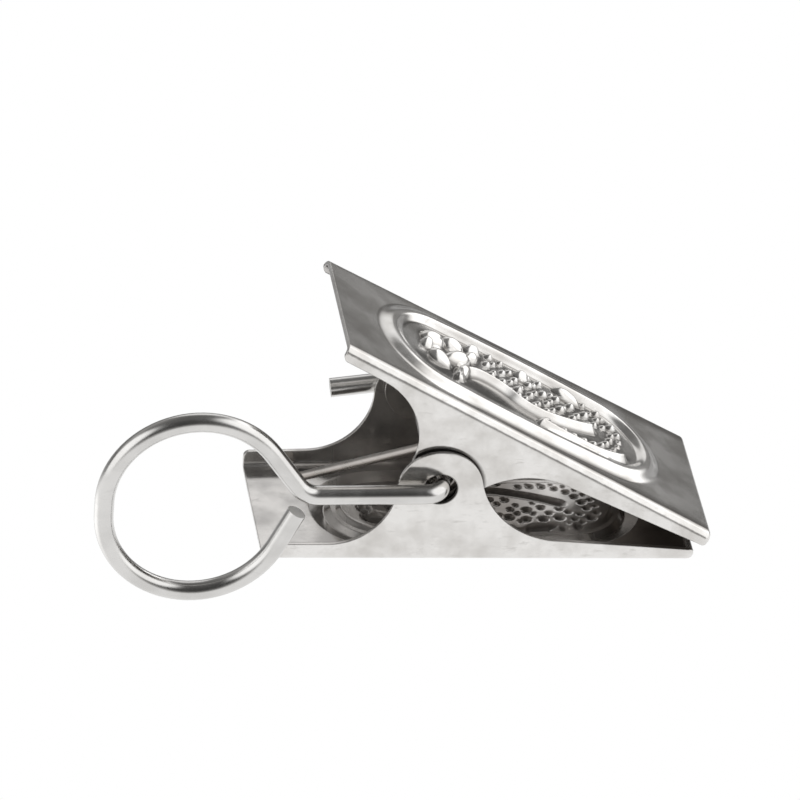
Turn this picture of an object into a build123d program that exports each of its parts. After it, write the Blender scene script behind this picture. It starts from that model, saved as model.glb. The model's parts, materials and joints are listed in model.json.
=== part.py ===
"""Curtain clip: two pressed sheet-steel jaws on a bent wire that is both hinge pin and ring.

Millimetres, +Z up. The origin is the centre of the ring, where the curtain rod passes, with the rod
along Y. The clip points along +X and is drawn closed, its lower jaw level.
"""

import os
from math import acos, asin, atan2, cos, hypot, pi, radians, sin, sqrt, tan

from build123d import *

# Sheet that both jaws are pressed from
sheet = 0.35
bend_radius = 0.8
front_edge_radius = 0.5
rear_width = 14.6
tip_width = 16.1
closed_angle = 29.7

# Lower jaw, measured from the pin axis
lower_rear_reach = 14.1
lower_tip_reach = 21.45
lower_pin_depth = 7.4
lower_ear_radius = 3.5
lower_rear_rim = 1.65
lower_rear_scoop = 5.4
lower_splay = 1.5

# Upper jaw, measured from the pin axis; its flanges lean in so that its ears pass inside the lower ones
upper_rear_reach = 13.4
upper_tip_reach = 22.45
upper_pin_depth = 7.0
upper_ear_radius = 2.9
upper_rear_rim = 1.2
upper_rear_scoop = 6.6
upper_splay = -3.0

# Flange outline that both jaws share
tip_rim = 1.15
scoop_rim = 2.0
front_scoop = 7.0
rim_corner = 0.5
hole_radius = 1.4
hole_offset = 0.35

# Oval frame bead pressed outwards in each plate
oval_length = 27.6
oval_width = 12.6
oval_end_radius = 6.0
oval_ahead_of_pin = 4.35
bead_height = 0.45
bead_shoulder = 1.2
bead_crest = 0.25
bead_inner = 0.5

# Ornament inside the frame: round petals and two stems, as (ahead of the pin, across) on the plate
petal_height = 0.38
petals = (
    ((-4.1, 1.6), 1.15),
    ((-2.0, 2.3), 0.95),
    ((-3.8, -1.2), 1.0),
    ((-1.8, 0.4), 1.0),
    ((0.0, 3.0), 0.7),
    ((4.9, 2.9), 0.6),
)
stem_diameter = 0.7
stem_lift = 0.1
long_stem = ((-2.2, -2.7), (-1.25, -1.1), (0.5, -0.45), (3.4, -1.35), (6.4, -1.95), (11.3, -0.1))
short_stem = ((6.1, -3.7), (8.4, -4.0), (10.8, -3.95), (14.0, -2.7))

# Wire ring, arm, pin and stub
wire_diameter = 1.6
ring_radius = 7.45
ring_draw = 1.1
arm_leave_angle = 36.0
free_leave_angle = 26.0
free_run = 3.6
ring_gap = 0.2
arm_bend = 2.2
pin_bend = 1.4
pin_reach = 20.12
pin_rise = 1.0
stub_length = 7.0
stub_droop = 7.0

# Torsion spring, its coil beside the ears on the ring's side
spring_wire = 0.8
spring_elbow = 0.82
spring_radius = 1.6
spring_turns = 2
spring_pitch = 0.85
spring_side = 4.97
spring_seat_gap = 0.05
lower_leg_reach = 9.8
lower_leg_across = 4.4
upper_leg_reach = 4.0
upper_leg_across = -6.0

wire_radius = wire_diameter / 2
through = 2 * tip_width


def half_width(along, rear, tip):
    """Half the plate's width at a distance ahead of the pin; the plate widens towards its tip."""
    share = (along + rear) / (rear + tip)
    return (rear_width + (tip_width - rear_width) * share) / 2


clip_offset = tip_width / 2 + tip_rim * tan(radians(lower_splay)) + ring_gap + wire_radius
pin_centre = Vector(pin_reach, clip_offset, pin_rise)
turn = radians(closed_angle)

# Each jaw has its own frame on the pin axis: x to its tip, z from its plate into the mouth
lower_frame = Plane(pin_centre, x_dir=(1, 0, 0), z_dir=(0, 0, 1))
upper_frame = Plane(pin_centre, x_dir=(cos(turn), 0, -sin(turn)), z_dir=(-sin(turn), 0, -cos(turn)))


def cross_plane(frame, along, height):
    """Plane across a jaw: its x is the jaw's width and its y is the way into the mouth."""
    origin = frame.from_local_coords(Vector(along, 0, height))
    return Plane(origin, x_dir=frame.y_dir, z_dir=frame.x_dir)


def side_plane(frame):
    """Plane along a jaw through its middle, seen from the near side."""
    return Plane(frame.origin, x_dir=frame.x_dir, z_dir=-frame.y_dir)


def level_plane(frame, along, height):
    """Plane level with a jaw's plate."""
    origin = frame.from_local_coords(Vector(along, 0, height))
    return Plane(origin, x_dir=frame.x_dir, z_dir=frame.z_dir)


def channel_block(frame, rear, tip, depth, splay, inset):
    """Solid inside of a channel: the jaw's outside when inset is 0, its hollow when it is the sheet."""
    height = depth + lower_ear_radius + bend_radius
    spread = tan(radians(splay)) * height
    base = inset - depth
    back = -rear - 2 * inset
    front = tip - inset

    def on_front(edge):
        local = frame.to_local_coords(edge @ 0.5)
        return abs(local.X - front) < sheet / 10 and local.Z < base + height - sheet

    def on_bend(edge):
        local = frame.to_local_coords(edge @ 0.5)
        return abs(local.Z - base) < sheet / 10 and abs(local.Y) > rear_width / 4

    with BuildPart() as block:
        for along in (back, front):
            half = half_width(along, rear, tip) - inset
            with BuildSketch(cross_plane(frame, along, base)):
                with BuildLine():
                    Polyline(
                        (-half, 0), (half, 0), (half + spread, height), (-half - spread, height), close=True
                    )
                make_face()
        loft(ruled=True)
        fillet(block.edges().filter_by(on_bend), bend_radius - inset)
        fillet(block.edges().filter_by(on_front), front_edge_radius - inset)
    return block.part


def point_towards(centre, target, distance):
    """Point at a distance from a centre on the way to a target."""
    run = hypot(target[0] - centre[0], target[1] - centre[1])
    share = distance / run
    return (centre[0] + (target[0] - centre[0]) * share, centre[1] + (target[1] - centre[1]) * share)


def arc_middle(centre, radius, start, end):
    """Point half way along the short arc between two points of a circle."""
    return point_towards(centre, ((start[0] + end[0]) / 2, (start[1] + end[1]) / 2), radius)


def flange_outline(rear, tip, depth, ear_radius, rear_rim, rear_scoop):
    """Side outline of a jaw: low rims, a round ear on the pin, and scoops that run smoothly into both."""
    ear = (0, -hole_offset)
    rear_level = rear_rim - depth
    front_level = scoop_rim - depth
    rear_rise = rear_level + rear_scoop
    front_rise = front_level + front_scoop
    rear_centre = (-sqrt((ear_radius + rear_scoop) ** 2 - (rear_rise - ear[1]) ** 2), rear_rise)
    front_centre = (sqrt((ear_radius + front_scoop) ** 2 - (front_rise - ear[1]) ** 2), front_rise)
    rear_foot = (rear_centre[0], rear_level)
    front_foot = (front_centre[0], front_level)
    ear_rear = point_towards(ear, rear_centre, ear_radius)
    ear_front = point_towards(ear, front_centre, ear_radius)
    rear_corner = (-rear, rear_level)
    tip_corner = (tip, tip_rim - depth)

    def is_rim_corner(vertex):
        local = (vertex.X, vertex.Y)
        return any(hypot(local[0] - c[0], local[1] - c[1]) < rim_corner / 10 for c in (rear_corner, tip_corner))

    with BuildSketch() as outline:
        with BuildLine():
            Polyline((tip, -depth), (-rear, -depth), rear_corner, rear_foot)
            ThreePointArc(rear_foot, arc_middle(rear_centre, rear_scoop, rear_foot, ear_rear), ear_rear)
            ThreePointArc(ear_rear, (0, ear[1] + ear_radius), ear_front)
            ThreePointArc(ear_front, arc_middle(front_centre, front_scoop, ear_front, front_foot), front_foot)
            Polyline(front_foot, tip_corner, (tip, -depth))
        make_face()
        fillet(outline.vertices().filter_by(is_rim_corner), rim_corner)
    return outline.sketch


def oval(inset):
    """Oval of four smooth arcs, set in from the foot of the frame bead."""
    half_length = oval_length / 2 - inset
    half_across = oval_width / 2 - inset
    end = oval_end_radius - inset
    end_at = half_length - end
    side = (end_at**2 + half_across**2 - end**2) / (2 * (half_across - end))
    side_at = side - half_across
    join = (end_at + end * end_at / (side - end), end * side_at / (side - end))
    with BuildSketch() as face:
        with BuildLine():
            ThreePointArc((-join[0], join[1]), (0, half_across), join)
            ThreePointArc(join, (half_length, 0), (join[0], -join[1]))
            ThreePointArc((join[0], -join[1]), (0, -half_across), (-join[0], -join[1]))
            ThreePointArc((-join[0], -join[1]), (-half_length, 0), (-join[0], join[1]))
        make_face()
    return face.sketch


def across_plate(point):
    """Ornament point in a jaw's own frame, whose y runs the other way when the plate is seen from outside."""
    return (point[0], -point[1])


def petal_plane(frame, along, across, height):
    """Upright plane through a petal's middle: its x is along the jaw and its y is out of the plate."""
    origin = frame.from_local_coords(Vector(along, -across, height))
    return Plane(origin, x_dir=frame.x_dir, z_dir=frame.y_dir)


def petal_shoulder(radius):
    """Half-way point of a petal's round back."""
    arc = (radius**2 + petal_height**2) / (2 * petal_height)
    half = asin(radius / arc) / 2
    return (arc * sin(half), arc * cos(half) - arc + petal_height)


def jaw(frame, rear, tip, depth, splay, ear_radius, rear_rim, rear_scoop):
    """One jaw: a channel with a turned-in tip, cut to its flange outline, with the oval frame and ornament pressed out."""
    outside = channel_block(frame, rear, tip, depth, splay, 0)
    hollow = channel_block(frame, rear, tip, depth, splay, sheet)
    outline = flange_outline(rear, tip, depth, ear_radius, rear_rim, rear_scoop)
    crest_at = bead_shoulder + bead_crest
    shoulder_mitre = sheet * tan(atan2(bead_height, bead_shoulder) / 2)
    inner_mitre = sheet * tan(atan2(bead_height, bead_inner) / 2)
    field = crest_at + bead_inner
    pressings = (
        (0, 0, bead_shoulder, Mode.ADD),
        (sheet, shoulder_mitre, bead_shoulder + shoulder_mitre, Mode.SUBTRACT),
        (sheet, field - inner_mitre, crest_at - inner_mitre, Mode.ADD),
        (0, field, crest_at, Mode.SUBTRACT),
    )
    with BuildPart() as pressing:
        add(outside)
        add(hollow, mode=Mode.SUBTRACT)
        with BuildSketch(side_plane(frame)):
            add(outline)
        extrude(amount=through, both=True, mode=Mode.INTERSECT)
        with BuildSketch(side_plane(frame)):
            with Locations((0, -hole_offset)):
                Circle(hole_radius)
        extrude(amount=through, both=True, mode=Mode.SUBTRACT)
        for level, foot, top, mode in pressings:
            for inset, height in ((foot, level), (top, level - bead_height)):
                with BuildSketch(level_plane(frame, oval_ahead_of_pin, height - depth)):
                    add(oval(inset))
            loft(ruled=True, mode=mode)
        for (along, across), radius in petals:
            with BuildSketch(petal_plane(frame, along, across, -depth)):
                with BuildLine():
                    ThreePointArc((0, petal_height), petal_shoulder(radius), (radius, 0))
                    Polyline((radius, 0), (radius, -sheet / 2), (0, -sheet / 2), (0, petal_height))
                make_face()
            revolve(axis=Axis(frame.from_local_coords(Vector(along, -across, -depth)), frame.z_dir))
        for first, second, *rest in (long_stem, short_stem):
            with BuildLine(level_plane(frame, 0, -depth - stem_lift)) as stem:
                bend = ThreePointArc(across_plate(first), across_plate(second), across_plate(rest[0]))
                for start, end in zip(rest, rest[1:]):
                    bend = TangentArc(across_plate(start), across_plate(end), tangent=bend % 1)
            with BuildSketch(Plane(stem.line @ 0, z_dir=stem.line % 0)):
                Circle(stem_diameter / 2)
            sweep(path=stem.line)
            with Locations(stem.line @ 0, stem.line @ 1):
                Sphere(stem_diameter / 2)
    return pressing.part


lower_jaw = jaw(
    lower_frame, lower_rear_reach, lower_tip_reach, lower_pin_depth, lower_splay, lower_ear_radius,
    lower_rear_rim, lower_rear_scoop,
)
upper_jaw = jaw(
    upper_frame, upper_rear_reach, upper_tip_reach, upper_pin_depth, upper_splay, upper_ear_radius,
    upper_rear_rim, upper_rear_scoop,
)

# The wire leaves the ring on a tangent each way: one end turns into the arm, the other is cut short of it
arm_leave = radians(arm_leave_angle)
arm_leave_x = ring_radius * cos(arm_leave)
arm_leave_z = ring_radius * sin(arm_leave) + ring_draw / 2
arm_corner_x = arm_leave_x + (arm_leave_z - pin_rise) * tan(arm_leave)
free_leave = radians(free_leave_angle)
free_leave_x = ring_radius * cos(free_leave)
free_leave_z = -ring_radius * sin(free_leave) - ring_draw / 2
free_end_x = free_leave_x + free_run * sin(free_leave)
free_end_z = free_leave_z + free_run * cos(free_leave)
stub_y = 2 * clip_offset
droop = radians(stub_droop)
stub_end = (pin_reach - stub_length * cos(droop), stub_y, pin_rise - stub_length * sin(droop))

with BuildPart() as wire_ring:
    with BuildLine() as wire_path:
        Line((free_end_x, 0, free_end_z), (free_leave_x, 0, free_leave_z))
        ThreePointArc(
            (free_leave_x, 0, free_leave_z),
            (0, 0, -ring_radius - ring_draw / 2),
            (-ring_radius, 0, -ring_draw / 2),
        )
        Line((-ring_radius, 0, -ring_draw / 2), (-ring_radius, 0, ring_draw / 2))
        ThreePointArc(
            (-ring_radius, 0, ring_draw / 2),
            (0, 0, ring_radius + ring_draw / 2),
            (arm_leave_x, 0, arm_leave_z),
        )
        FilletPolyline(
            (arm_leave_x, 0, arm_leave_z),
            (arm_corner_x, 0, pin_rise),
            (pin_reach, 0, pin_rise),
            (pin_reach, stub_y, pin_rise),
            stub_end,
            radius=[arm_bend, pin_bend, pin_bend],
        )
    with BuildSketch(Plane(wire_path.line @ 0, z_dir=wire_path.line % 0)):
        Circle(wire_radius)
    sweep(path=wire_path.line)


def leg_seat(depth, reach):
    """Where a leg's end lies behind and below the pin in a jaw's frame, just clear of the plate."""
    return (-reach, sheet + spring_wire / 2 + spring_seat_gap - depth)


def leg_lift(depth, reach):
    """Angle round the coil, in a jaw's frame, where a leg leaves it for that jaw's plate."""
    along, height = leg_seat(depth, reach)
    return atan2(height, along) - acos(spring_radius / hypot(along, height))


def leg_ends(frame, depth, reach, coil_end, across):
    """Where a leg leaves the coil and where it presses on the plate."""
    lift = leg_lift(depth, reach)
    along, height = leg_seat(depth, reach)
    return (
        frame.from_local_coords(Vector(spring_radius * cos(lift), coil_end, spring_radius * sin(lift))),
        frame.from_local_coords(Vector(along, across, height)),
    )


lower_lift = leg_lift(lower_pin_depth, lower_leg_reach)
upper_lift = -leg_lift(upper_pin_depth, upper_leg_reach) - turn
coil_turns = spring_turns + ((lower_lift - upper_lift) / (2 * pi)) % 1
coil_half = coil_turns * spring_pitch / 2
lower_leg = leg_ends(
    lower_frame, lower_pin_depth, lower_leg_reach, coil_half - spring_side, lower_leg_across
)
upper_leg = leg_ends(
    upper_frame, upper_pin_depth, upper_leg_reach, coil_half + spring_side, -upper_leg_across
)
coil_frame = Plane(
    pin_centre + Vector(0, coil_half - spring_side, 0),
    x_dir=(cos(lower_lift), 0, sin(lower_lift)),
    z_dir=(0, -1, 0),
)

with BuildPart() as torsion_spring:
    with BuildLine() as coil_path:
        coil = Edge.make_helix(spring_pitch, 2 * coil_half, spring_radius, lefthand=True)
        add(coil.moved(coil_frame.location))
    with BuildSketch(Plane(coil_path.line @ 0, z_dir=coil_path.line % 0)):
        Circle(spring_wire / 2)
    sweep(path=coil_path.line, is_frenet=True)
    for start, end in (lower_leg, upper_leg):
        with BuildSketch(Plane(start, z_dir=end - start)):
            Circle(spring_wire / 2)
        extrude(amount=(end - start).length)
        with Locations(start):
            Sphere(spring_elbow / 2)

os.makedirs("parts", exist_ok=True)
for piece, name in (
    (lower_jaw, "lower_jaw"),
    (upper_jaw, "upper_jaw"),
    (wire_ring.part, "wire_ring"),
    (torsion_spring.part, "torsion_spring"),
):
    piece.label = name
    export_step(piece, f"parts/{name}.step")
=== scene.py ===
import json
from math import cos, pi, radians, sin

import bpy
import numpy as np
from mathutils import Matrix, Vector


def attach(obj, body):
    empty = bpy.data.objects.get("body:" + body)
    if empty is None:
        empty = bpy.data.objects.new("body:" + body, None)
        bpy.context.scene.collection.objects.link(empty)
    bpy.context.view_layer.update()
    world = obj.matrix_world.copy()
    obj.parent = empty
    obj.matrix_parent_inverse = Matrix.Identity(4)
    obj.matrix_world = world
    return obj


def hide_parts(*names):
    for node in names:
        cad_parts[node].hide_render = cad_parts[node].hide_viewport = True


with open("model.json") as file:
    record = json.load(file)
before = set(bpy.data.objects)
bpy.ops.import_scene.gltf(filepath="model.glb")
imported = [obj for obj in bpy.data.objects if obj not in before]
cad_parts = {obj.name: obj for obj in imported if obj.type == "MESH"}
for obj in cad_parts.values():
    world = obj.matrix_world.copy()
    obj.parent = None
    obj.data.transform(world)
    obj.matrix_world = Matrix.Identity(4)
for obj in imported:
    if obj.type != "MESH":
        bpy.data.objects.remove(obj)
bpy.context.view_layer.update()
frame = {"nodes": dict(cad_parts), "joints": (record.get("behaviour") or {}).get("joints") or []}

MM = 0.001
FLOAT, VECTOR = "NodeSocketFloat", "NodeSocketVector"
PIN = Vector(next(j["pos_m"] for j in frame["joints"] if j["name"] == "jaw_open"))

# Jaw plates, lengths in millimetres: along is towards the tip, across is upwards in an outside view
# with the tip on the right, depth is from the pin axis to the outer face, and ear_shadow is the share of
# painted shadow that the other jaw's ear casts round the ears.
CLOSED = radians(29.7)
SHEET = 0.35
HOLE_OFFSET = 0.35
CHANNEL_MIDDLE = 0.45
PLATES = {
    "lower": {"along": (1, 0, 0), "across": (0, -1, 0), "out": (0, 0, -1), "depth": 7.4, "ear_shadow": 0},
    "upper": {
        "along": (cos(CLOSED), 0, -sin(CLOSED)),
        "across": (0, 1, 0),
        "out": (sin(CLOSED), 0, cos(CLOSED)),
        "depth": 7.0,
        "ear_shadow": 0.9,
    },
}

# Oval frame on each plate, in millimetres. Its profile is given by insets from its foot.
OVAL_AT = 4.35
OVAL_HALF_LENGTH = 13.8
OVAL_HALF_WIDTH = 6.3
OVAL_END = 6.0
FRAME_HEIGHT = 0.47
FRAME_FLANK = (-0.15, 1.15)
FRAME_CREST = 1.3
FRAME_FALL = (1.4, 2.15)

# Ornament in the frame, in millimetres ahead of the pin and across. A petal has its middle, half
# length, half width and tilt in degrees.
DROP_AT = (4.9, 2.9)
LEAF_AT = (9.5, 3.4)
PETALS = (
    (-4.1, 1.6, 1.3, 1.0, 20),
    (-2.0, 2.3, 1.15, 0.85, -15),
    (-3.8, -1.2, 1.25, 0.9, -35),
    (-1.8, 0.4, 1.5, 0.85, 30),
    (-4.9, 0.2, 0.8, 0.6, 80),
    (0.0, 3.0, 0.85, 0.65, 10),
    (-0.4, 1.5, 0.9, 0.6, 40),
    (*DROP_AT, 0.75, 0.6, 0),
    (*LEAF_AT, 1.5, 0.6, -12),
    (6.1, -3.65, 0.9, 0.6, 30),
    (-1.75, -1.85, 1.25, 0.62, 62),
)
PETAL_HEIGHT, PETAL_SLANT = 0.5, 0.55
CREASE_DEPTH, CREASE_WIDTH = 0.05, 0.16
CREASE_RUN, CREASE_HEIGHT = (-0.3, 0.7), 0.4
LONG_STEM = ((-2.2, -2.7), (-1.25, -1.1), (0.5, -0.45), (3.4, -1.35), (6.4, -1.95), (11.3, -0.1))
SHORT_STEM = ((6.1, -3.7), (8.4, -4.0), (10.8, -3.95), (14.0, -2.7))
STEM_HEIGHT, STEM_CREST = 0.56, 0.05
STEM_FAR, STEM_NEAR = 0.4, 0.8
ARC_STEPS = 24
BEAD_SEED = 7
BEAD_ROWS, BEAD_STEPS = 7, 10
BEAD_START, BEAD_PITCH = (1.6, -0.75), (1.36, 0.7)
BEAD_NUDGE = 0.24
LARGE_BEAD, SMALL_BEAD = 0.43, 0.29
BEAD_RISE = 0.8
BEAD_ARC = (
    (8.3, -2.75),
    (9.3, -2.8),
    (10.3, -2.75),
    (11.3, -2.45),
    (12.2, -1.9),
    (12.8, -1.15),
    (13.3, -0.3),
    (13.6, 0.6),
)
ARC_BEAD, ARC_SMALL_BEAD = 0.38, 0.25
ARC_STAGGER = (0.78, -0.3)

# Skins that carry the ornament, in millimetres; their reach is given by insets from the frame's foot
SKIN = 0.006
SKIN_BED = 0.12
SKIN_FROM, SKIN_TO, SKIN_HALF_WIDTH = -10.0, 18.75, 6.8
SKIN_PITCH, INNER_PITCH = 0.1, 0.11
SKIN_EDGE, INNER_EDGE = -0.48, 2.1
ORNAMENT_EDGE = 1.7
DISH_EDGE = (1.6, 2.1)
FIELD_EDGE = (2.2, 2.7)
INNER_DEPTH, INNER_RISE, INNER_SINK = 0.27, 0.03, 0.015
PIT_HEIGHT = 0.42
RIM_SINK = (-0.05, -0.45)
NEAR_DISH, NEAR_DISH_WIDTH = 0.15, 4.2
REAR_DISH, REAR_DISH_FROM, REAR_DISH_LENGTH = 0.2, -1.5, 6

# Painted shade on the skins, in the hollows round the ornament, on the plain field, along the feet of the
# frame and in the pits of the inner skin, as a share of the full shade, with lengths in millimetres
CROWD_HEIGHT, CROWD_REACH, CROWD_GAIN = 0.1, 0.55, 2.4
HOLLOW_EDGE, HOLLOW_CLEAR = 1.9, 0.22
PLAIN_SHADE, PLAIN_ACROSS, PLAIN_CLEAR = 0.7, (-1.0, -2.2), 0.3
INNER_FOOT_SHADE, INNER_FOOT, INNER_FOOT_ACROSS = 0.8, (2.2, 0.16), (0.5, 2.0)
OUTER_FOOT_AT, OUTER_FOOT_WIDTH, OUTER_FOOT_SPREAD = -0.1, 0.2, 0.12
SIDE_SHADE, SIDE_REAR, SIDE_FRONT = 0.75, (-3, 0), (15.5, 13.5)
REAR_SHADE, REAR_ALONG = 0.45, (-4, -7)
NEAR_SHADE, NEAR_ACROSS = 0.25, (-2, -4)
RIM_CLEAR = 0.3
PIT_SHADE, PIT_FULL = 0.8, 0.3

# Torsion spring, in millimetres
SPRING_WIRE = 0.8
SPRING_RADIUS, SPRING_TURNS, SPRING_PITCH = 1.6, 2, 0.85
SPRING_SIDE = 4.97
SEAT_GAP = 0.05
LOWER_SEAT, UPPER_SEAT = (-9.8, 4.4), (-4.0, -6.0)

# Cut faces of the ring's wire, in millimetres: the ring's free end and the stub's end
FREE_LEAVE, STUB_DROOP = radians(26), radians(7)
WIRE_ENDS = (
    ((8.274, 0, -0.580), (sin(FREE_LEAVE), 0, cos(FREE_LEAVE))),
    ((13.172, 18.16, 0.147), (-cos(STUB_DROOP), 0, -sin(STUB_DROOP))),
)
WIRE_END_REACH = (1.1, 1.0)

# Painted shade round the pin, in millimetres from the middle of the ear hole: in the hole, and the shadow
# line and spot that the other jaw's ear casts
HOLE_SHADE = (1.52, 1.38)
SPOT_SHADE = (1.62, 1.5)
SHADOW_INNER, SHADOW_OUTER = (3.1, 3.4), (3.86, 3.58)

# Painted shade on the plate's outer face along its bends, standing in for their dark reflection, and
# darker towards its ends, in millimetres across from its middle line and along from its centre
MARGIN_SHADE_SIDE = (5.9, 6.9)
MARGIN_SHADE_CENTRE, MARGIN_SHADE_END = 5, (12.5, 19)
MARGIN_SHADE_AT_END, MARGIN_SHADE_SHARE = 0.5, 0.78

# Painted shade inside a channel from its rear to its tip, with a band of painted reflection near the tip,
# and the dull film that starts near the rear
CHANNEL_SHADE_FROM, CHANNEL_SHADE_TO = -0.0105, 0.018
CHANNEL_SHADE = (
    (0.0, (0.68, 0.66, 0.64)),
    (0.12, (0.47, 0.45, 0.43)),
    (0.45, (0.38, 0.35, 0.32)),
    (0.62, (0.32, 0.29, 0.265)),
    (0.77, (0.88, 0.85, 0.82)),
    (0.89, (0.3, 0.275, 0.25)),
    (1.0, (0.18, 0.155, 0.135)),
)
CHANNEL_SHADE_PATCHES = (0.7, 1.06)
FILM_FROM, FILM_TO, FILM = -9, -4, -0.28
SHEET_METALLIC = 0.87

# Look of handled metal: where blotches and stains set in, how far grain adds haze, and the cosines
# between which a face counts as inside a channel, flat on a plate or a cut end
BLOTCHED, STAINED = (0.36, 0.6), (0.74, 0.58)
GRAIN_HAZE = 0.5
INSIDE_FACING, FLAT_FACING, END_FACING = (0.1, -0.25), (0.9, 0.99), (0.6, 0.9)
CUT_HAZE, CUT_METALLIC = 0.35, -0.6

# Light and dark tones of sheet, ring wire and spring, the colours of painted shade in the hollows, along
# the plate's bends and round the pin, and the colour of a raw cut
SHEET_LIGHT, SHEET_DARK = (0.84, 0.825, 0.805), (0.64, 0.62, 0.595)
WIRE_LIGHT, WIRE_DARK = (0.72, 0.71, 0.695), (0.62, 0.61, 0.595)
SPRING_LIGHT, SPRING_DARK = (0.52, 0.49, 0.46), (0.38, 0.36, 0.34)
HOLLOW_SHADE_COLOUR = (0.14, 0.13, 0.12, 1)
MARGIN_SHADE_COLOUR = (0.22, 0.205, 0.19, 1)
PIN_SHADE_COLOUR = (0.05, 0.045, 0.04, 1)
RAW_CUT = (0.8, 0.79, 0.77, 1)

# Studio: brightness of the dome by height behind and in front of the clip, and round soft boxes
# with their turn, rise, core and rim in degrees and their level
BACK_SKY = (
    (-1, 0.8),
    (-0.3, 0.5),
    (-0.14, 0.24),
    (0.04, 0.14),
    (0.14, 0.22),
    (0.3, 0.36),
    (0.46, 0.4),
    (0.56, 0.34),
    (0.75, 0.22),
    (1, 0.14),
)
FRONT_SKY = (
    (-1, 1.0),
    (-0.2, 0.8),
    (-0.05, 0.6),
    (0.05, 0.5),
    (0.15, 0.33),
    (0.27, 0.1),
    (0.5, 0.06),
    (0.85, 0.08),
    (1, 0.14),
)
SOFT_BOXES = (
    (80, 28, 32, 46, 1.35),
    (-75, 18, 24, 42, 1.35),
    (122, 26, 13, 26, 1.8),
    (170, 30, 10, 24, 1.0),
)
SKY_TINT = (1, 0.99, 0.975)
BACK_TO_FRONT = (0.35, -0.25)
TABLE_HALF, TABLE_LEVEL = 1.5, -0.06
TABLE_SHADE_FROM, TABLE_SHADE_TO, TABLE_SHADE = 0.09, 0.2, 0.34
GLOW_AT, GLOW_RIM, GLOW_CORE, GLOW = (-0.09, 0.035, TABLE_LEVEL), 0.065, 0.03, 0.5

# Camera: angles in degrees, lengths in millimetres, picture of 800 pixels
AZIMUTH, ELEVATION, ROLL = -9.734, 31.0, -4.628
DISTANCE = 712.07
PIXELS_PER_MM, PICTURE = 12.2, 800
SENSOR = 36
AIM_BELOW_PIN, AIM_RIGHT, AIM_UP = 0.35, -2.294, 3.219


class Shading:
    """Short calls for the nodes of one shader tree; each returns an output socket."""

    def __init__(self, tree):
        self.nodes = tree.nodes
        self.links = tree.links

    def feed(self, socket, value):
        """Links a socket to another one, or sets it to a fixed value."""
        if isinstance(value, bpy.types.NodeSocket):
            self.links.new(value, socket)
        else:
            socket.default_value = value

    def place(self, kind):
        """Texture coordinate of one kind."""
        return self.nodes.new("ShaderNodeTexCoord").outputs[kind]

    def axes(self, vector):
        """X, Y and Z of a vector, by name."""
        node = self.nodes.new("ShaderNodeSeparateXYZ")
        self.links.new(vector, node.inputs["Vector"])
        return node.outputs

    def math(self, operation, *values, clamp=False):
        node = self.nodes.new("ShaderNodeMath")
        node.operation = operation
        node.use_clamp = clamp
        for socket, value in zip(node.inputs, values):
            self.feed(socket, value)
        return node.outputs["Value"]

    def vector(self, operation, *values):
        node = self.nodes.new("ShaderNodeVectorMath")
        node.operation = operation
        sockets = (node.inputs[0], node.inputs["Scale" if operation == "SCALE" else 1])
        for socket, value in zip(sockets, values):
            self.feed(socket, value)
        measured = operation in ("DOT_PRODUCT", "DISTANCE", "LENGTH")
        return node.outputs["Value" if measured else "Vector"]

    def fade(self, value, start, end, low=0, high=1, eased=False):
        """Low at start and high at end, and level beyond them."""
        node = self.nodes.new("ShaderNodeMapRange")
        if eased:
            node.interpolation_type = "SMOOTHSTEP"
        limits = {"From Min": start, "From Max": end, "To Min": low, "To Max": high}
        for label, limit in limits.items():
            node.inputs[label].default_value = limit
        self.links.new(value, node.inputs["Value"])
        return node.outputs["Result"]

    def mix(self, share, first, second, blend="MIX"):
        """Colour between two colours."""
        node = self.nodes.new("ShaderNodeMix")
        node.data_type = "RGBA"
        node.blend_type = blend
        for label, value in (("Factor", share), ("A", first), ("B", second)):
            self.feed(node.inputs[label], value)
        return node.outputs["Result"]

    def ramp(self, value, stops):
        """Colour ramp through stops of position and colour."""
        node = self.nodes.new("ShaderNodeValToRGB")
        elements = node.color_ramp.elements
        while len(elements) < len(stops):
            elements.new(0.5)
        for element, (at, colour) in zip(elements, stops):
            element.position = at
            element.color = (*colour, 1)
        self.links.new(value, node.inputs["Fac"])
        return node.outputs["Color"]

    def noise(self, vector, scale, detail, roughness=0.5):
        node = self.nodes.new("ShaderNodeTexNoise")
        for label, value in (("Scale", scale), ("Detail", detail), ("Roughness", roughness)):
            node.inputs[label].default_value = value
        self.links.new(vector, node.inputs["Vector"])
        return node.outputs["Fac"]

    def bump(self, height, strength, distance, normal=None):
        node = self.nodes.new("ShaderNodeBump")
        node.inputs["Strength"].default_value = strength
        node.inputs["Distance"].default_value = distance
        self.links.new(height, node.inputs["Height"])
        if normal:
            self.links.new(normal, node.inputs["Normal"])
        return node.outputs["Normal"]

    def group(self, tree, **inputs):
        """Outputs of a node group, by name."""
        node = self.nodes.new("ShaderNodeGroup")
        node.node_tree = tree
        for label, value in inputs.items():
            node.inputs[label].default_value = value
        return node.outputs

    def blend(self, share, first, second):
        """Shader between two shaders."""
        node = self.nodes.new("ShaderNodeMixShader")
        self.links.new(share, node.inputs["Fac"])
        self.links.new(first, node.inputs[1])
        self.links.new(second, node.inputs[2])
        return node.outputs["Shader"]


def new_group(name, inputs, outputs):
    """Empty node group with vector inputs: its tree, its nodes, and its inputs and outputs by name."""
    tree = bpy.data.node_groups.new(name, "ShaderNodeTree")
    for label in inputs:
        tree.interface.new_socket(name=label, in_out="INPUT", socket_type=VECTOR)
    for label, kind in outputs.items():
        tree.interface.new_socket(name=label, in_out="OUTPUT", socket_type=kind)
    shading = Shading(tree)
    given = shading.nodes.new("NodeGroupInput").outputs
    result = shading.nodes.new("NodeGroupOutput").inputs
    return tree, shading, given, result


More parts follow.
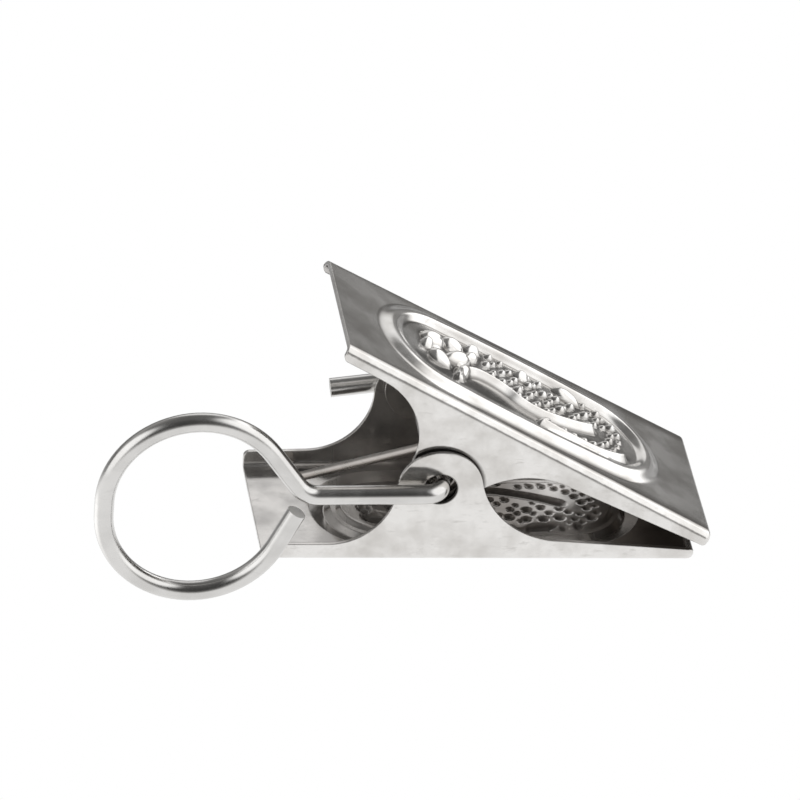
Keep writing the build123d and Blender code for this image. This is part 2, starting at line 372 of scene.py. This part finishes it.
def handled_metal(name, edge, grit):
    """Soft blotches, drawn stains, fine grain, faint ripples and worn edges of plated metal in use."""
    tree, shading, _, result = new_group(name, (), {"Tone": FLOAT, "Haze": FLOAT, "Normal": VECTOR})
    place = shading.place("Object")
    drawn = shading.nodes.new("ShaderNodeMapping")
    drawn.inputs["Scale"].default_value = (1, 1, 3)
    shading.links.new(place, drawn.inputs["Vector"])
    blotch = shading.noise(place, scale=320, detail=5)
    stain_and_shade = shading.noise(drawn.outputs["Vector"], scale=620, detail=6, roughness=0.65)
    grain = shading.noise(place, scale=2600, detail=3)
    ripple = shading.noise(place, scale=150, detail=1)
    tone = shading.fade(blotch, *BLOTCHED)
    clean = shading.fade(stain_and_shade, *STAINED)
    shading.feed(result["Tone"], shading.math("MULTIPLY", tone, clean))
    shading.feed(result["Haze"], shading.math("MULTIPLY_ADD", grain, GRAIN_HAZE, tone))
    rounded = None
    if edge:
        worn = shading.nodes.new("ShaderNodeBevel")
        worn.samples = 6
        worn.inputs["Radius"].default_value = edge
        rounded = worn.outputs["Normal"]
    fine = shading.bump(grain, strength=grit, distance=0.00002, normal=rounded)
    rippled = shading.bump(ripple, strength=0.35, distance=0.0001, normal=fine)
    shading.feed(result["Normal"], rippled)
    return tree


def inside_of_channel():
    """Mask of the faces that look into a channel, and the distance along it from its middle."""
    outputs = {"Inside": FLOAT, "Forward": FLOAT}
    tree, shading, given, result = new_group("inside of channel", ("Middle", "Along"), outputs)
    away = shading.vector("SUBTRACT", shading.place("Object"), given["Middle"])
    forward = shading.vector("DOT_PRODUCT", away, given["Along"])
    lengthwise = shading.vector("SCALE", given["Along"], forward)
    outward = shading.vector("NORMALIZE", shading.vector("SUBTRACT", away, lengthwise))
    facing = shading.vector("DOT_PRODUCT", outward, shading.place("Normal"))
    shading.feed(result["Inside"], shading.fade(facing, *INSIDE_FACING))
    shading.feed(result["Forward"], forward)
    return tree


def round_the_pin():
    """Masks of painted shade in the pin hole, and of the painted shadow line and spot that the other jaw's
    ear casts.
    """
    outputs = {"In hole": FLOAT, "Cast shadow": FLOAT}
    tree, shading, given, result = new_group("round the pin", ("Hole", "Ear"), outputs)
    place = shading.place("Object")

    def distance(centre):
        away = shading.vector("SUBTRACT", place, given[centre])
        return shading.vector("LENGTH", shading.vector("MULTIPLY", away, (1, 0, 1)))

    def mark(value, reach):
        start, end = reach
        return shading.fade(value, start * MM, end * MM)

    shading.feed(result["In hole"], mark(distance("Hole"), HOLE_SHADE))
    ear = distance("Ear")
    line = shading.math("MULTIPLY", mark(ear, SHADOW_OUTER), mark(ear, SHADOW_INNER))
    shading.feed(result["Cast shadow"], shading.math("MAXIMUM", line, mark(ear, SPOT_SHADE)))
    return tree


def plate_margin():
    """Mask of painted shade on the plate's outer face along its bends and towards its ends."""
    tree, shading, given, result = new_group("plate margin", ("Middle", "Along", "Out"), {"Margin": FLOAT})
    away = shading.vector("SUBTRACT", shading.place("Object"), given["Middle"])
    sideways = shading.math("ABSOLUTE", shading.axes(away)["Y"])
    forward = shading.vector("DOT_PRODUCT", away, given["Along"])
    lengthwise = shading.math("ABSOLUTE", shading.math("SUBTRACT", forward, MARGIN_SHADE_CENTRE * MM))
    side_from, side_to = MARGIN_SHADE_SIDE
    end_from, end_to = MARGIN_SHADE_END
    side = shading.fade(sideways, side_from * MM, side_to * MM)
    end = shading.fade(lengthwise, end_from * MM, end_to * MM, high=MARGIN_SHADE_AT_END)
    facing = shading.vector("DOT_PRODUCT", shading.place("Normal"), given["Out"])
    flat = shading.fade(facing, *FLAT_FACING)
    shading.feed(result["Margin"], shading.math("MULTIPLY", shading.math("MAXIMUM", side, end), flat))
    return tree


def sheared_end():
    """Mask of one cut face of the wire, from its centre and the way it faces."""
    tree, shading, given, result = new_group("sheared end", ("Centre", "Facing"), {"Cut": FLOAT})
    away = shading.vector("DISTANCE", shading.place("Object"), given["Centre"])
    outer, inner = WIRE_END_REACH
    near = shading.fade(away, outer * MM, inner * MM)
    facing = shading.vector("DOT_PRODUCT", shading.place("Normal"), given["Facing"])
    shading.feed(result["Cut"], shading.math("MULTIPLY", near, shading.fade(facing, *END_FACING)))
    return tree


HANDLED = {
    "pressed": handled_metal("handled sheet", edge=0, grit=0.1),
    "cut": handled_metal("handled sheet with worn edges", edge=0.00014, grit=0.1),
    "drawn": handled_metal("handled wire", edge=0, grit=0.025),
}
INSIDE = inside_of_channel()
ROUND_PIN = round_the_pin()
MARGIN = plate_margin()
SHEARED = sheared_end()


def with_painted_shade(shading, tone, shade, channel):
    """Painted shade of a jaw in its channel, in its ornament's hollows, along its plate's bends and round
    its pin, and the dull film in its channel: its new colour, and its metallic share.
    """
    middle, along, out = channel["middle"], channel["along"], channel["out"]
    mask = shading.group(INSIDE, Middle=middle, Along=along)
    # painted shade inside the channel, lighter in a band of painted reflection near the tip and varied in
    # random patches
    reach = shading.fade(mask["Forward"], CHANNEL_SHADE_FROM, CHANNEL_SHADE_TO)
    patches = shading.fade(tone, 0, 1, *CHANNEL_SHADE_PATCHES)
    channel_shade = shading.mix(1, shading.ramp(reach, CHANNEL_SHADE), patches, "MULTIPLY")
    shade = shading.mix(mask["Inside"], shade, channel_shade)
    film = shading.fade(mask["Forward"], FILM_FROM * MM, FILM_TO * MM, high=FILM)
    metallic = shading.math("MULTIPLY_ADD", film, mask["Inside"], SHEET_METALLIC)
    # painted shade in the ornament's hollows, read from the skin's per-point share
    hollow_shade = shading.nodes.new("ShaderNodeAttribute")
    hollow_shade.attribute_name = "painted_shade"
    shade = shading.mix(hollow_shade.outputs["Fac"], shade, HOLLOW_SHADE_COLOUR)
    margin = shading.group(MARGIN, Middle=middle, Along=along, Out=out)
    # painted shade along the plate's bends and towards its ends
    shade = shading.mix(shading.math("MULTIPLY", margin["Margin"], MARGIN_SHADE_SHARE), shade, MARGIN_SHADE_COLOUR)
    pin = shading.group(ROUND_PIN, Hole=channel["hole"], Ear=channel["ear"])
    # painted shade in the pin hole and painted shadow of the other jaw's ear
    outside = shading.math("SUBTRACT", pin["Cast shadow"], mask["Inside"], clamp=True)
    pin_shade = shading.math("MULTIPLY_ADD", outside, channel["ear_shadow"], pin["In hole"], clamp=True)
    return shading.mix(pin_shade, shade, PIN_SHADE_COLOUR), metallic


def plated(name, finish, light, dark, smooth, hazy, channel=None, ends=()):
    """Bright plated steel that drifts with handling, with painted shade and a dull film from a channel,
    and raw at its cut ends.
    """
    material = bpy.data.materials.new(name)
    material.use_nodes = True
    shading = Shading(material.node_tree)
    shader = shading.nodes["Principled BSDF"].inputs
    shader["Metallic"].default_value = 1.0
    wear = shading.group(HANDLED[finish])
    shade = shading.mix(wear["Tone"], (*dark, 1), (*light, 1))
    haze = shading.fade(wear["Haze"], 0, 1 + GRAIN_HAZE, smooth, hazy)
    metallic = 1.0
    if channel:
        shade, metallic = with_painted_shade(shading, wear["Tone"], shade, channel)
    for centre, facing in ends:
        cut = shading.group(SHEARED, Centre=Vector(centre) * MM, Facing=facing)["Cut"]
        shade = shading.mix(cut, shade, RAW_CUT)
        haze = shading.math("MULTIPLY_ADD", cut, CUT_HAZE, haze)
        metallic = shading.math("MULTIPLY_ADD", cut, CUT_METALLIC, metallic)
    shading.feed(shader["Metallic"], metallic)
    shading.feed(shader["Base Color"], shade)
    shading.feed(shader["Roughness"], haze)
    shading.feed(shader["Normal"], wear["Normal"])
    return material


def jaw_metal(body, finish):
    """Plated sheet of one jaw, with painted shade and a dull film inside its channel, and painted shade in
    its hollows, along its bends and round its pin.
    """
    plate = PLATES[body]
    channel = {
        "middle": PIN + Vector(plate["out"]) * (plate["depth"] * CHANNEL_MIDDLE * MM),
        "along": plate["along"],
        "out": plate["out"],
        "hole": PIN + Vector(plate["out"]) * (HOLE_OFFSET * MM),
        "ear": PIN + Vector(PLATES["lower"]["out"]) * (HOLE_OFFSET * MM),
        "ear_shadow": plate["ear_shadow"],
    }
    name = f"{finish} sheet {body}"
    return plated(name, finish, SHEET_LIGHT, SHEET_DARK, smooth=0.09, hazy=0.2, channel=channel)


CUT_SHEET = {body: jaw_metal(body, "cut") for body in PLATES}
PRESSED_SHEET = {body: jaw_metal(body, "pressed") for body in PLATES}
WIRE_METAL = plated("plated wire", "drawn", WIRE_LIGHT, WIRE_DARK, smooth=0.17, hazy=0.26, ends=WIRE_ENDS)
SPRING_METAL = plated("spring steel", "drawn", SPRING_LIGHT, SPRING_DARK, smooth=0.2, hazy=0.34)


def dress(obj, material):
    """One material on the whole object."""
    obj.data.materials.clear()
    obj.data.materials.append(material)


def new_mesh(name, points, faces):
    """Smooth mesh object from points in metres."""
    mesh = bpy.data.meshes.new(name)
    mesh.from_pydata([tuple(p) for p in points], [], faces)
    mesh.update()
    mesh.polygons.foreach_set("use_smooth", [True] * len(mesh.polygons))
    obj = bpy.data.objects.new(name, mesh)
    bpy.context.scene.collection.objects.link(obj)
    return obj


def rise(value, start, end):
    """0 at start and 1 at end, with level ends; start may be the larger."""
    share = np.clip((value - start) / (end - start), 0, 1)
    return share * share * (3 - 2 * share)


def hump(value, middle, width):
    """1 at the middle, falling off to both sides."""
    return np.exp(-(((value - middle) / width) ** 2))


def oval_inset(u, v):
    """Distance inside the foot of the oval frame, negative outside it."""
    x = np.abs(u - OVAL_AT)
    y = np.abs(v)
    end_at = OVAL_HALF_LENGTH - OVAL_END
    side = (end_at**2 + OVAL_HALF_WIDTH**2 - OVAL_END**2) / (2 * (OVAL_HALF_WIDTH - OVAL_END))
    side_at = side - OVAL_HALF_WIDTH
    at_end = x * side_at > end_at * (y + side_at)
    return np.where(at_end, OVAL_END - np.hypot(x - end_at, y), side - np.hypot(x, y + side_at))


def circle_through(a, b, c):
    """Centre of the circle through three points."""
    (ax, ay), (bx, by), (cx, cy) = a, b, c
    double_area = 2 * (ax * (by - cy) + bx * (cy - ay) + cx * (ay - by))
    sa, sb, sc = ax * ax + ay * ay, bx * bx + by * by, cx * cx + cy * cy
    x = sa * (by - cy) + sb * (cy - ay) + sc * (ay - by)
    y = sa * (cx - bx) + sb * (ax - cx) + sc * (bx - ax)
    return np.array([x / double_area, y / double_area])


def swing(centre, start, end, turn):
    """Points round an arc from start to end, turning one way, and its direction at the end."""
    first = np.arctan2(start[1] - centre[1], start[0] - centre[0])
    last = np.arctan2(end[1] - centre[1], end[0] - centre[0])
    sweep = (last - first) * turn % (2 * pi) * turn
    angles = first + sweep * np.linspace(0, 1, ARC_STEPS)
    radius = np.hypot(start[0] - centre[0], start[1] - centre[1])
    points = np.stack([centre[0] + radius * np.cos(angles), centre[1] + radius * np.sin(angles)], 1)
    return points, np.array([-np.sin(angles[-1]), np.cos(angles[-1])]) * turn


def stem_line(knots):
    """Stem of smoothly joined arcs: one through the first three knots, then one to each next knot."""
    first, second, third, *rest = [np.array(k, float) for k in knots]
    centre = circle_through(first, second, third)
    one, two = second - first, third - second
    turn = 1 if one[0] * two[1] - one[1] * two[0] > 0 else -1
    points, way = swing(centre, first, third, turn)
    line = [points]
    start = third
    for end in rest:
        normal = np.array([-way[1], way[0]])
        chord = end - start
        offset = chord @ chord / (2 * (chord @ normal))
        points, way = swing(start + normal * offset, start, end, 1 if offset > 0 else -1)
        line.append(points)
        start = end
    return np.concatenate(line)


def beside(u, v, line):
    """Distance of every point to a line of points, positive on its left and negative on its right."""
    best = np.full(u.shape, 1e9)
    for (ax, ay), (bx, by) in zip(line, line[1:]):
        dx, dy = bx - ax, by - ay
        share = np.clip(((u - ax) * dx + (v - ay) * dy) / max(dx * dx + dy * dy, 1e-12), 0, 1)
        away = np.hypot(u - ax - dx * share, v - ay - dy * share)
        left = np.where(dx * (v - ay) - dy * (u - ax) < 0, -1, 1)
        best = np.where(away < np.abs(best), away * left, best)
    return best


def stem_ridge(offset):
    """Stem with a steep round far side and a long plain slope on the near side."""
    past_crest = offset - STEM_CREST
    far = STEM_HEIGHT * np.sqrt(np.clip(1 - (past_crest / STEM_FAR) ** 2, 0, 1))
    near = STEM_HEIGHT * np.clip(1 + past_crest / STEM_NEAR, 0, 1)
    return np.where(offset > STEM_CREST, far, near)


def bead_points():
    """Small beads: a field behind the long stem, and a row that follows the front of the frame."""
    frame_room, drop_room, stem_room = 2.5, 0.95, 0.8
    leaf_length, leaf_width = 1.6, 0.8
    size_drift = 0.3
    spots = []
    chance = np.random.default_rng(BEAD_SEED)
    stem = stem_line(LONG_STEM)
    for row in range(BEAD_ROWS):
        across = BEAD_START[1] + BEAD_PITCH[1] * row
        for step in range(BEAD_STEPS):
            along = BEAD_START[0] + BEAD_PITCH[0] * step + BEAD_PITCH[0] / 2 * (row % 2)
            nudge = chance.uniform(-BEAD_NUDGE, BEAD_NUDGE, 3)
            in_field = oval_inset(np.array(along), np.array(across)) > frame_room
            by_drop = np.hypot(along - DROP_AT[0], across - DROP_AT[1]) < drop_room
            by_leaf = abs(along - LEAF_AT[0]) < leaf_length and abs(across - LEAF_AT[1]) < leaf_width
            nearest = np.argmin(np.abs(stem[:, 0] - along))
            by_stem = across < stem[nearest, 1] + stem_room
            if in_field and not by_drop and not by_leaf and not by_stem:
                size = SMALL_BEAD if row % 2 else LARGE_BEAD
                spots.append((along + nudge[0], across + nudge[1], size + size_drift * nudge[2]))
    for along, across in BEAD_ARC:
        spots.append((along, across, ARC_BEAD))
        spots.append((along + ARC_STAGGER[0], across + ARC_STAGGER[1], ARC_SMALL_BEAD))
    return spots


def ornament(u, v):
    """Height of leaves, stems and beads above the field of the frame, in millimetres."""
    raised = np.zeros(u.shape)
    for along, across, long, wide, tilt in PETALS:
        c, s = cos(radians(tilt)), sin(radians(tilt))
        x = (u - along) * c + (v - across) * s
        y = (v - across) * c - (u - along) * s
        slant = 1 + PETAL_SLANT * np.clip((v - across) / wide, -1, 1)
        petal = PETAL_HEIGHT * slant * (1 - np.clip(np.hypot(x / long, y / wide), 0, 1) ** 4)
        crease = CREASE_DEPTH * hump(y, 0, CREASE_WIDTH) * rise(x / long, *CREASE_RUN)
        crease *= rise(petal, 0, CREASE_HEIGHT)
        raised = np.maximum(raised, petal - crease)
    for knots in (LONG_STEM, SHORT_STEM):
        raised = np.maximum(raised, stem_ridge(beside(u, v, stem_line(knots))))
    for along, across, radius in bead_points():
        bead = radius * BEAD_RISE * (1 - (np.hypot(u - along, v - across) / radius) ** 2)
        raised = np.maximum(raised, bead)
    return raised


def spread_out(mask, steps):
    """Mask averaged over a square of so many steps each way."""
    for axis in (0, 1):
        mask = sum(np.roll(mask, shift, axis) for shift in range(-steps, steps + 1)) / (2 * steps + 1)
    return mask


def shade_in_recesses(u, v, pitch):
    """Share of painted shade in the hollows round the ornament, on the plain field and along the feet of
    the frame.
    """
    inset = oval_inset(u, v)
    raised = ornament(u, v)
    crowded = spread_out((raised > CROWD_HEIGHT).astype(float), int(CROWD_REACH / pitch))
    hollow_shade = np.clip(CROWD_GAIN * crowded, 0, 1) * (1 - rise(raised, 0, HOLLOW_CLEAR))
    hollow_shade *= inset > HOLLOW_EDGE
    plain = PLAIN_SHADE * rise(inset, *FIELD_EDGE) * rise(v, *PLAIN_ACROSS)
    plain *= 1 - rise(raised, 0, PLAIN_CLEAR)
    inner_foot = INNER_FOOT_SHADE * hump(inset, *INNER_FOOT) * rise(v, *INNER_FOOT_ACROSS)
    side = rise(u, *SIDE_REAR) * rise(u, *SIDE_FRONT)
    rear = rise(u, *REAR_ALONG)
    near = rise(v, *NEAR_ACROSS)
    width = OUTER_FOOT_WIDTH + OUTER_FOOT_SPREAD * rear + OUTER_FOOT_SPREAD * near
    stain_and_shade = np.maximum((SIDE_SHADE + NEAR_SHADE * near) * side, REAR_SHADE * rear)
    stain_and_shade *= rise(inset, SKIN_EDGE, SKIN_EDGE + RIM_CLEAR)
    outer_foot = hump(inset, OUTER_FOOT_AT, width) * stain_and_shade
    return np.maximum.reduce([hollow_shade, plain, inner_foot, outer_foot])


def frame_profile(inset):
    """Height of the oval frame above the plate."""
    flank = rise(inset, *FRAME_FLANK)
    fall = 1 - rise(inset, *FRAME_FALL)
    return FRAME_HEIGHT * np.where(inset < FRAME_CREST, flank, fall)


def outer_relief(u, v):
    """Heights of the upper and the under side of the outer skin, above the plate, and its reach."""
    inset = oval_inset(u, v)
    near_dish = NEAR_DISH * np.clip(-v / NEAR_DISH_WIDTH, 0, 1) ** 2
    rear_dish = REAR_DISH * np.clip((REAR_DISH_FROM - u) / REAR_DISH_LENGTH, 0, 1) ** 2
    dish = (near_dish + rear_dish) * rise(inset, *DISH_EDGE)
    sunk_rim = 2 * SKIN * rise(inset, *RIM_SINK)
    top = frame_profile(inset) + dish + SKIN - sunk_rim
    top = top + np.where(inset > ORNAMENT_EDGE, ornament(u, v), 0)
    return top, frame_profile(inset) - SKIN_BED, inset > SKIN_EDGE


def inner_relief(u, v):
    """Heights of the raised and the bedded side of the inner skin, inwards, and its reach."""
    inset = oval_inset(u, v)
    field = rise(inset, *FIELD_EDGE)
    pits = np.clip(ornament(u, v) / PIT_HEIGHT, 0, 1)
    top = INNER_DEPTH * field * (1 - pits) + INNER_RISE * field - INNER_SINK
    return top, np.full(u.shape, -SKIN_BED), inset > INNER_EDGE


def skin_of(name, body, pitch, inner):
    """Closed skin with the full ornament, bedded in the plain plate of a jaw."""
    plate = PLATES[body]
    us = np.arange(SKIN_FROM, SKIN_TO, pitch)
    vs = np.linspace(-SKIN_HALF_WIDTH, SKIN_HALF_WIDTH, int(2 * SKIN_HALF_WIDTH / pitch))
    u, v = np.meshgrid(us, vs, indexing="ij")
    if inner:
        top, under, kept = inner_relief(u, v)
        level = plate["depth"] - SHEET
        facing = -1
        # painted shade in the pits of the inner skin
        painted_shade = PIT_SHADE * rise(ornament(u, v), 0, PIT_FULL)
    else:
        top, under, kept = outer_relief(u, v)
        level = plate["depth"]
        facing = 1
        # painted shade in the hollows, on the plain field and along the feet of the frame
        painted_shade = shade_in_recesses(u, v, pitch)
    along, across, out = (np.array(plate[k]) for k in ("along", "across", "out"))
    flat = np.array(PIN) / MM + u[..., None] * along + v[..., None] * across
    points = []
    for height in (top, under):
        points.append((flat + (level + facing * height)[..., None] * out)[kept] * MM)
    count = int(kept.sum())
    number = np.full(u.shape, -1)
    number[kept] = np.arange(count)
    corners = [number[:-1, :-1], number[1:, :-1], number[1:, 1:], number[:-1, 1:]]
    corners = np.stack(corners, -1).reshape(-1, 4)
    corners = corners[(corners >= 0).all(1)]
    if inner:
        corners = corners[:, ::-1]
    edges = corners[:, [0, 1, 1, 2, 2, 3, 3, 0]].reshape(-1, 2)
    edges = dict.fromkeys(map(tuple, edges.tolist()))
    rim = [(a, b) for a, b in edges if (b, a) not in edges]
    faces = corners.tolist() + (corners[:, ::-1] + count).tolist()
    faces += [(b, a, a + count, b + count) for a, b in rim]
    skin = new_mesh(name, np.concatenate(points), faces)
    # per-point share of painted shade, which the plated sheet reads
    stain_and_shade = skin.data.attributes.new("painted_shade", "FLOAT", "POINT")
    stain_and_shade.data.foreach_set("value", np.tile(painted_shade[kept], 2).astype(np.float32))
    dress(skin, PRESSED_SHEET[body])
    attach(skin, body)


def wire_along(name, points, radius, sides=20):
    """Round wire through closely spaced points, with flat ends."""
    points = [Vector(p) for p in points]
    ring_points = []
    side = None
    for i, point in enumerate(points):
        way = (points[min(i + 1, len(points) - 1)] - points[max(i - 1, 0)]).normalized()
        if side is None:
            side = way.orthogonal().normalized()
        side = (side - way * side.dot(way)).normalized()
        other = way.cross(side)
        for k in range(sides):
            angle = 2 * pi * k / sides
            ring_points.append(point + (side * cos(angle) + other * sin(angle)) * radius)
    faces = []
    for i in range(len(points) - 1):
        for k in range(sides):
            a, b = i * sides + k, i * sides + (k + 1) % sides
            faces.append((a, b, b + sides, a + sides))
    faces.append(tuple(reversed(range(sides))))
    faces.append(tuple(range((len(points) - 1) * sides, len(points) * sides)))
    wire = new_mesh(name, ring_points, faces)
    for face in list(wire.data.polygons)[-2:]:
        face.use_smooth = False
    return wire


def torsion_spring():
    """Coil and lower leg that stay with the lower jaw, and an upper leg that follows the upper jaw."""
    coil_steps, lower_steps, upper_steps = 260, 30, 24
    hidden_start = 14

    def seat_and_lift(plate, reach):
        height = SHEET + SPRING_WIRE / 2 + SEAT_GAP - PLATES[plate]["depth"]
        lift = np.arctan2(height, reach) - np.arccos(SPRING_RADIUS / np.hypot(reach, height))
        return height, lift

    def straight(start, end, steps):
        return [start + (end - start) * t for t in np.linspace(0, 1, steps)]

    lower_height, lower_lift = seat_and_lift("lower", LOWER_SEAT[0])
    upper_height, upper_lift = seat_and_lift("upper", UPPER_SEAT[0])
    upper_angle = -upper_lift - CLOSED
    turns = SPRING_TURNS + ((lower_lift - upper_angle) / (2 * pi)) % 1
    half = turns * SPRING_PITCH / 2
    angles = lower_lift - np.linspace(0, turns * 2 * pi, coil_steps)
    ys = np.linspace(half, -half, coil_steps) - SPRING_SIDE
    pin = np.array(PIN) / MM
    coil = [pin + (SPRING_RADIUS * cos(a), y, SPRING_RADIUS * sin(a)) for a, y in zip(angles, ys)]
    lower_seat = pin + (*LOWER_SEAT, lower_height)
    along, across, out = (np.array(PLATES["upper"][k]) for k in ("along", "across", "out"))
    upper_seat = pin + along * UPPER_SEAT[0] + across * UPPER_SEAT[1] - out * upper_height
    lower_line = straight(lower_seat, coil[0], lower_steps)
    upper_line = straight(coil[-1], upper_seat, upper_steps)
    radius = SPRING_WIRE / 2 * MM
    body = wire_along("spring_coil", [p * MM for p in lower_line[:-1] + coil], radius)
    leg = wire_along("spring_upper_leg", [p * MM for p in coil[-hidden_start:-1] + upper_line], radius)
    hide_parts("torsion_spring")
    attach(body, "lower")
    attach(leg, "upper")
    for piece in (body, leg):
        dress(piece, SPRING_METAL)


def sky_colours(levels):
    """Ramp stops of dome brightness, from straight down to straight up."""
    return [((at + 1) / 2, tuple(level * tint for tint in SKY_TINT)) for at, level in levels]


def studio():
    """Dome of the studio: soft boxes round the table, and a dark room in front and overhead."""
    world = bpy.data.worlds.new("studio")
    bpy.context.scene.world = world
    world.use_nodes = True
    shading = Shading(world.node_tree)
    direction = shading.place("Generated")
    axes = shading.axes(direction)
    height = shading.fade(axes["Z"], -1, 1)
    back = shading.ramp(height, sky_colours(BACK_SKY))
    front = shading.ramp(height, sky_colours(FRONT_SKY))
    shade = shading.mix(shading.fade(axes["Y"], *BACK_TO_FRONT), back, front)
    for turn, lift, core, rim, level in SOFT_BOXES:
        turn, lift = radians(turn), radians(lift)
        aim = (sin(turn) * cos(lift), -cos(turn) * cos(lift), sin(lift))
        towards = shading.vector("DOT_PRODUCT", direction, aim)
        screen = shading.fade(towards, cos(radians(rim)), cos(radians(core)), eased=True)
        shade = shading.mix(screen, shade, (level, level, level, 1))
    ray = shading.nodes.new("ShaderNodeLightPath").outputs
    seen = shading.mix(ray["Is Camera Ray"], shade, (1, 1, 1, 1))
    shading.feed(shading.nodes["Background"].inputs["Color"], seen)


def table():
    """White table that the metal mirrors as shaded behind the clip, and that is clear from below."""
    half, level = TABLE_HALF, TABLE_LEVEL
    corners = [(-half, -half, level), (half, -half, level), (half, half, level), (-half, half, level)]
    top = new_mesh("table", corners, [(0, 1, 2, 3)])
    paper = bpy.data.materials.new("white paper")
    paper.use_nodes = True
    shading = Shading(paper.node_tree)
    matte = shading.nodes["Principled BSDF"]
    matte.inputs["Base Color"].default_value = (0.82, 0.82, 0.81, 1)
    matte.inputs["Roughness"].default_value = 1
    matte.inputs["Specular IOR Level"].default_value = 0
    place = shading.place("Object")
    shade = shading.fade(shading.axes(place)["Y"], TABLE_SHADE_FROM, TABLE_SHADE_TO, 1, TABLE_SHADE)
    glow = shading.fade(shading.vector("DISTANCE", place, GLOW_AT), GLOW_RIM, GLOW_CORE, high=GLOW)
    mirrored = shading.nodes.new("ShaderNodeEmission")
    shading.feed(mirrored.inputs["Strength"], shading.math("ADD", shade, glow))
    white = shading.nodes.new("ShaderNodeEmission")
    clear = shading.nodes.new("ShaderNodeBsdfTransparent")
    ray = shading.nodes.new("ShaderNodeLightPath").outputs
    side = shading.nodes.new("ShaderNodeNewGeometry").outputs
    in_metal = shading.blend(ray["Is Glossy Ray"], matte.outputs["BSDF"], mirrored.outputs["Emission"])
    seen = shading.blend(ray["Is Camera Ray"], in_metal, white.outputs["Emission"])
    surface = shading.blend(side["Backfacing"], seen, clear.outputs["BSDF"])
    shading.feed(shading.nodes["Material Output"].inputs["Surface"], surface)
    dress(top, paper)


def camera():
    """The photograph's viewpoint: long lens from the ring's side, above, turned a little clockwise."""
    azimuth, elevation, roll = radians(AZIMUTH), radians(ELEVATION), radians(ROLL)
    forward = Vector((-sin(azimuth) * cos(elevation), cos(azimuth) * cos(elevation), -sin(elevation)))
    level = Vector((cos(azimuth), sin(azimuth), 0))
    upright = level.cross(forward)
    right = level * cos(roll) - upright * sin(roll)
    up = level * sin(roll) + upright * cos(roll)
    target = PIN / MM - Vector((0, 0, AIM_BELOW_PIN)) + right * AIM_RIGHT + up * AIM_UP
    data = bpy.data.cameras.new("view")
    data.sensor_width = SENSOR
    data.lens = PIXELS_PER_MM * DISTANCE / PICTURE * SENSOR
    data.clip_start = 0.05
    data.clip_end = 20
    obj = bpy.data.objects.new("view", data)
    turn = Matrix((right, up, -forward)).transposed().to_4x4()
    obj.matrix_world = Matrix.Translation((target - forward * DISTANCE) * MM) @ turn
    bpy.context.scene.collection.objects.link(obj)
    bpy.context.scene.camera = obj


bpy.context.scene.view_settings.view_transform = "Standard"
for body in PLATES:
    dress(frame["nodes"][f"{body}_jaw"], CUT_SHEET[body])
    skin_of(f"{body}_ornament", body, SKIN_PITCH, inner=False)
    skin_of(f"{body}_ornament_inside", body, INNER_PITCH, inner=True)
dress(frame["nodes"]["wire_ring"], WIRE_METAL)
torsion_spring()
studio()
table()
camera()
